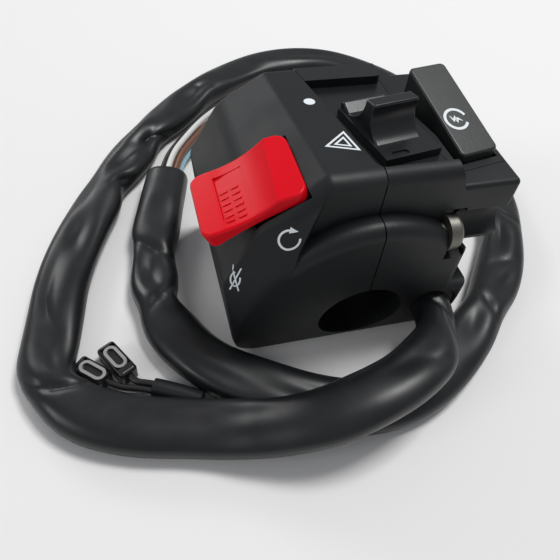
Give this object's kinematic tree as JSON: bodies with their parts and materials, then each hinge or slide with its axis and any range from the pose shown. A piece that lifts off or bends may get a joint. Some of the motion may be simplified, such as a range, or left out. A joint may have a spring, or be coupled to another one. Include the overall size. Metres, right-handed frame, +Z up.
{
  "type": "handlebar switch cluster",
  "caption": "Two-half handlebar switch housing with a red kill rocker, a hazard slider, a start button and a sleeved wiring harness looped round it.",
  "frame": {"origin": "under the middle of the switch housing's bounding box, on the surface it rests on", "axes": "+Z up towards the rider's face of the housing, +Y along the handlebar from the harness end to the grip end, +X from the kill switch side to the start switch side"},
  "size_m": [0.1594, 0.174, 0.0612],
  "materials": {
    "housing_plastic": "fine matte grain",
    "button_plastic": "satin",
    "rocker_plastic": "semi-gloss",
    "inner_plastic": "plain",
    "pin_steel": "plain",
    "spring_steel": "drawn wire",
    "contact_brass": "plain",
    "screw_steel": "dulled zinc",
    "grommet_rubber": "matte",
    "sleeve_vinyl": "soft satin vinyl",
    "black_insulation": "plain",
    "white_insulation": "plain",
    "brown_insulation": "plain",
    "light_blue_insulation": "plain",
    "green_yellow_insulation": "plain",
    "connector_plastic": "plain",
    "boot_plastic": "soft",
    "terminal_steel": "tinned"
  },
  "bodies": {
    "housing": {"kill_side_housing": "housing_plastic", "start_side_housing": "housing_plastic", "rocker_pin": "pin_steel", "kill_switch_base": "inner_plastic", "kill_contacts": "contact_brass", "kill_base_screws": "pin_steel", "hazard_slot_plate": "housing_plastic", "hazard_switch_base": "inner_plastic", "hazard_fixed_contacts": "contact_brass", "start_bezel": "housing_plastic", "start_spring": "spring_steel", "start_switch_base": "inner_plastic", "start_fixed_contacts": "contact_brass", "clamp_screws": "screw_steel", "screw_washers": "screw_steel", "harness_grommet": "grommet_rubber", "harness_sleeve": "sleeve_vinyl", "black_wire": "black_insulation", "white_wire": "white_insulation", "brown_wire": "brown_insulation", "second_brown_wire": "brown_insulation", "light_blue_wire": "light_blue_insulation", "green_yellow_wire": "green_yellow_insulation", "main_connector": "connector_plastic", "brake_branch_sleeve": "sleeve_vinyl", "near_terminal_wire": "black_insulation", "far_terminal_wire": "black_insulation", "terminal_boots": "boot_plastic", "brake_terminals": "terminal_steel"},
    "rocker": {"kill_rocker": "rocker_plastic", "rocker_plunger": "contact_brass", "rocker_spring": "spring_steel"},
    "slider": {"hazard_knob": "button_plastic", "hazard_contact_blade": "contact_brass"},
    "start_key": {"start_button": "button_plastic", "start_contact_blade": "contact_brass"}
  },
  "joints": [
    {"name": "kill_rocker_pivot", "type": "hinge", "parent": "housing", "child": "rocker", "pos_m": [-0.02255, -0.0101, 0.04099], "axis": [0, -1, 0], "range_deg": [0, 9]},
    {"name": "hazard_slide", "type": "slide", "parent": "housing", "child": "slider", "axis": [-0.1736, 0.9837, -0.0468], "range_m": [0, 0.007]},
    {"name": "start_push", "type": "slide", "parent": "housing", "child": "start_key", "axis": [0, 0, -1], "range_m": [0, 0.003], "stiffness_N_per_m": 400, "springref_m": -0.004, "deforming": ["start_spring"]}
  ]
}
